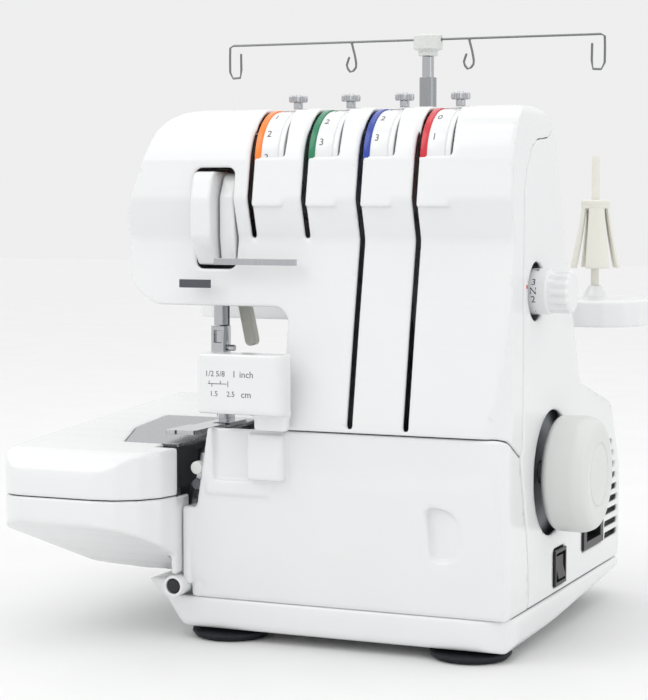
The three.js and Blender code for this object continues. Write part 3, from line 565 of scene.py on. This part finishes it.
def build_cone_holders():
    """A crowned sleeve with four flaring petals, for each holder."""
    for number in range(1, 5):
        node = f"cone_holder_{number}"
        low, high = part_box(node)
        middle = (low + high) / 2 / MM
        top, bottom = high.z / MM - 0.05, low.z / MM + 0.05
        sleeve = [(2.9, bottom + 1), (5.4, bottom + 1), (5.2, top - 6), (8.4, top - 5), (8.6, top - 0.8),
                  (7.8, top), (3.2, top), (2.9, top - 0.6)]
        form = bmesh.new()
        form.from_mesh(lathe_mesh(node, sleeve + [sleeve[0]], "z", Vector((middle.x, middle.y, 0)), 48))
        bmesh.ops.remove_doubles(form, verts=form.verts, dist=1e-6)
        for quarter in range(4):
            add_petal(form, middle, top, bottom, math.radians(90 * quarter + 22))
        bmesh.ops.recalc_face_normals(form, faces=form.faces)
        mesh = bpy.data.meshes.new(f"{node}_petals")
        form.to_mesh(mesh)
        form.free()
        piece = add_piece(f"{node}_petals", mesh, cream, f"cone_{number}", [node])
        rounding = piece.modifiers.new("edges", "BEVEL")
        rounding.width, rounding.segments, rounding.limit_method = 0.4 * MM, 2, "ANGLE"


def add_petal(form, middle, top, bottom, facing, wall=1.7, rows=14, columns=8):
    """One curved petal, from the crown to its flared foot."""
    grid = {}
    for side in (0, 1):
        for i in range(rows + 1):
            t = i / rows
            z = top - 3.5 + (bottom - top + 3.5) * t
            radius = 8.2 + 6.4 * t ** 1.25 - wall * side
            half = math.radians(35 - 5 * t)
            for j in range(columns + 1):
                angle = facing + half * (2 * j / columns - 1)
                place = Vector((middle.x + radius * math.cos(angle), middle.y + radius * math.sin(angle), z))
                grid[side, i, j] = form.verts.new(place * MM)
    faces = []
    for i in range(rows):
        for j in range(columns):
            faces += [form.faces.new([grid[s, i, j], grid[s, i + 1, j], grid[s, i + 1, j + 1], grid[s, i, j + 1]])
                      for s in (0, 1)]
    for i in range(rows):
        for j in (0, columns):
            form.faces.new([grid[0, i, j], grid[0, i + 1, j], grid[1, i + 1, j], grid[1, i, j]])
    for j in range(columns):
        for i in (0, rows):
            form.faces.new([grid[0, i, j], grid[0, i, j + 1], grid[1, i, j + 1], grid[1, i, j]])
    for face in faces:
        face.smooth = True


def build_hinge_boss():
    """The white boss at the front left corner, with the cover's dark spring inside."""
    centre = Vector((-58.3, 0, 30.2)) + SHIFT
    ring = lathe_mesh("hinge_boss", rounded_profile([
        (0, -74), (5.9, -74), (5.9, -86.4), (4.3, -86.4), (4.3, -78), (0, -78)], 0.5, 3), "y", centre, 64)
    add_piece("hinge_boss", ring, white, "frame")
    coils = [(0, -78.1)]
    for turn in range(5):
        for step in range(9):
            angle = math.pi * step / 8
            coils.append((3.1 + 0.9 * math.sin(angle), -78.4 - 1.5 * turn - 1.5 * step / 8))
    coils += [(1.6, coils[-1][1]), (0, coils[-1][1])]
    mesh = lathe_mesh("cover_spring", coils, "y", centre, 48)
    add_piece("cover_spring", mesh, black, "cover_slide", ["looper_cover_shaft"])


def turned_piece(name, profile, axis, centre, material, body, radius=0.3):
    mesh = lathe_mesh(name, rounded_profile(profile, radius, 3), axis, Vector(centre) + SHIFT, 48)
    return add_piece(name, mesh, material, body)


def build_fittings():
    """The bushing under the head and the screw and knob in the looper room."""
    turned_piece("needle_bar_bushing", [(4.15, 182.6), (5.6, 182.6), (6.6, 184.4), (6.6, 187), (4.15, 187), (4.15, 182.6)],
                 "z", (-61, -20, 0), dark_steel, "frame")
    turned_piece("knife_knob", [(0, -80.6), (3.6, -80.6), (3.6, -76), (0, -76)],
                 "y", (-46.5, 0, 95.5), off_white, "knife_arm", 0.8)
    turned_piece("knife_screw", [(0, -80.4), (2.9, -80.4), (3.1, -78.4), (0, -78.4)],
                 "y", (-46.8, 0, 86.5), dark_steel, "knife_arm", 0.5)
    turned_piece("stitch_mark", [(0, 130.02), (1.1, 130.02), (1.1, 130.3), (0, 130.3)],
                 "x", (0, -45.5, 196), mark_red, "frame", 0.1)


def build_pretension_guides():
    for key in DIALS:
        node = f"pretension_guide_{key}"
        low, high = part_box(node)
        middle = (low + high) / 2 / MM
        top, bottom = high.z / MM, low.z / MM
        radius = min(high.x - low.x, high.y - low.y) / 2 / MM
        cap_r = min(radius * 0.78, 5.2)

        def knurl(r, along, angle, limit=cap_r * 0.8):
            return r - (0.22 * (1 + math.cos(22 * angle)) if r > limit and along > top - 4.2 else 0)

        cap = lathe_mesh(f"{node}_cap", rounded_profile([
            (0, bottom), (cap_r * 0.5, bottom), (cap_r * 0.5, top - 4.6), (cap_r * 0.9, top - 4.4),
            (cap_r, top - 3.8), (cap_r, top - 1.2), (cap_r * 0.86, top - 0.5), (cap_r * 0.35, top - 0.4),
            (cap_r * 0.3, top - 0.02), (0, top - 0.02)], 0.3, 3),
            "z", Vector((middle.x, middle.y, 0)), 132, knurl)
        add_piece(f"{node}_cap", cap, chrome, "frame", [node])


# ------------------------------------------------------------------ gauge scale

def build_gauge_scale():
    low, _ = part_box("seam_gauge")
    front = low.y / MM - SHIFT.y
    centre_x = -22.5

    def flat(item, u, v):
        points, faces = item
        return [tuple(point(u + a, front - 0.02 - w, v + b)) for a, b, w in points], faces

    items = [
        flat(letters("1/2", 4.2), -27.0, 149.6), flat(letters("5/8", 4.2), -20.6, 149.6),
        flat(letters("1", 5.0), -12.6, 149.6), flat(letters("inch", 5.0), -5.4, 149.6),
        flat(letters("1.5", 4.0), -24.5, 139.0), flat(letters("2.5", 4.0), -14.6, 139.0),
        flat(letters("cm", 5.0), -5.6, 139.0),
        flat(bar_mark(-5.4, 5.6, -0.18, 0.18), centre_x, 144.4),
    ]
    for x, up, down in ((-27.2, 1.6, 0), (-25.6, 0, 1.6), (-20.6, 1.6, 0), (-16.2, 1.6, 1.6)):
        items.append(flat(bar_mark(-0.18, 0.18, -down, up), x, 144.4))
    marks("gauge_scale", items, ink, "cover_door")


# ------------------------------------------------------------------ room, light and camera

SKY_LOW, SKY_HIGH = 0.86, 1.15          # strength of the sky at the horizon and overhead


def build_stage():
    bpy.ops.mesh.primitive_plane_add(size=12, location=(0, 0, -0.0002))
    floor = bpy.context.object
    floor.name = "floor"
    floor.data.materials.append(plastic("floor_pale", (0.80, 0.80, 0.80), 0.7))
    bpy.context.scene.view_settings.view_transform = "Standard"
    world = bpy.data.worlds.new("studio")
    bpy.context.scene.world = world
    world.use_nodes = True
    nodes, links = world.node_tree.nodes, world.node_tree.links
    coordinates = nodes.new("ShaderNodeTexCoord")
    split = nodes.new("ShaderNodeSeparateXYZ")
    span = nodes.new("ShaderNodeMapRange")
    span.inputs["From Min"].default_value = 0.1
    span.inputs["From Max"].default_value = 0.8
    span.inputs["To Min"].default_value = SKY_LOW
    span.inputs["To Max"].default_value = SKY_HIGH
    links.new(coordinates.outputs["Generated"], split.inputs["Vector"])
    links.new(split.outputs["Z"], span.inputs["Value"])
    links.new(span.outputs["Result"], nodes["Background"].inputs["Strength"])
    nodes["Background"].inputs["Color"].default_value = (1, 1, 1, 1)


def add_light(name, place, target, size, power):
    light = bpy.data.lights.new(name, "AREA")
    light.shape = "RECTANGLE"
    light.size, light.size_y = size
    light.energy = power
    lamp = bpy.data.objects.new(name, light)
    bpy.context.scene.collection.objects.link(lamp)
    lamp.location = place
    lamp.rotation_euler = (Vector(target) - Vector(place)).to_track_quat("-Z", "Y").to_euler()


def build_lights():
    add_light("key", (-0.9, -1.1, 1.5), (0, 0, 0.15), (1.1, 1.1), 5)
    add_light("side", (1.5, -0.3, 0.7), (0, 0, 0.15), (0.9, 1.2), 1.5)
    add_light("top", (0.1, 0.2, 1.6), (0, 0, 0.15), (1.2, 0.9), 2.5)


def build_camera():
    camera = bpy.data.cameras.new("camera")
    camera.lens = 104.2
    camera.sensor_width = 36
    camera.clip_end = 50
    holder = bpy.data.objects.new("camera", camera)
    bpy.context.scene.collection.objects.link(holder)
    holder.location = (0.45185, -1.0795, 0.2425)
    holder.rotation_euler = (math.radians(90 - 4.29), 0, math.radians(23.3))
    bpy.context.scene.camera = holder


build_camera()
build_shells()
build_small_parts()
build_dials()
build_stitch_dial()
build_handwheel()
build_pretension_guides()
build_cone_holders()
build_hinge_boss()
build_fittings()
build_gauge_scale()
build_stage()
build_lights()
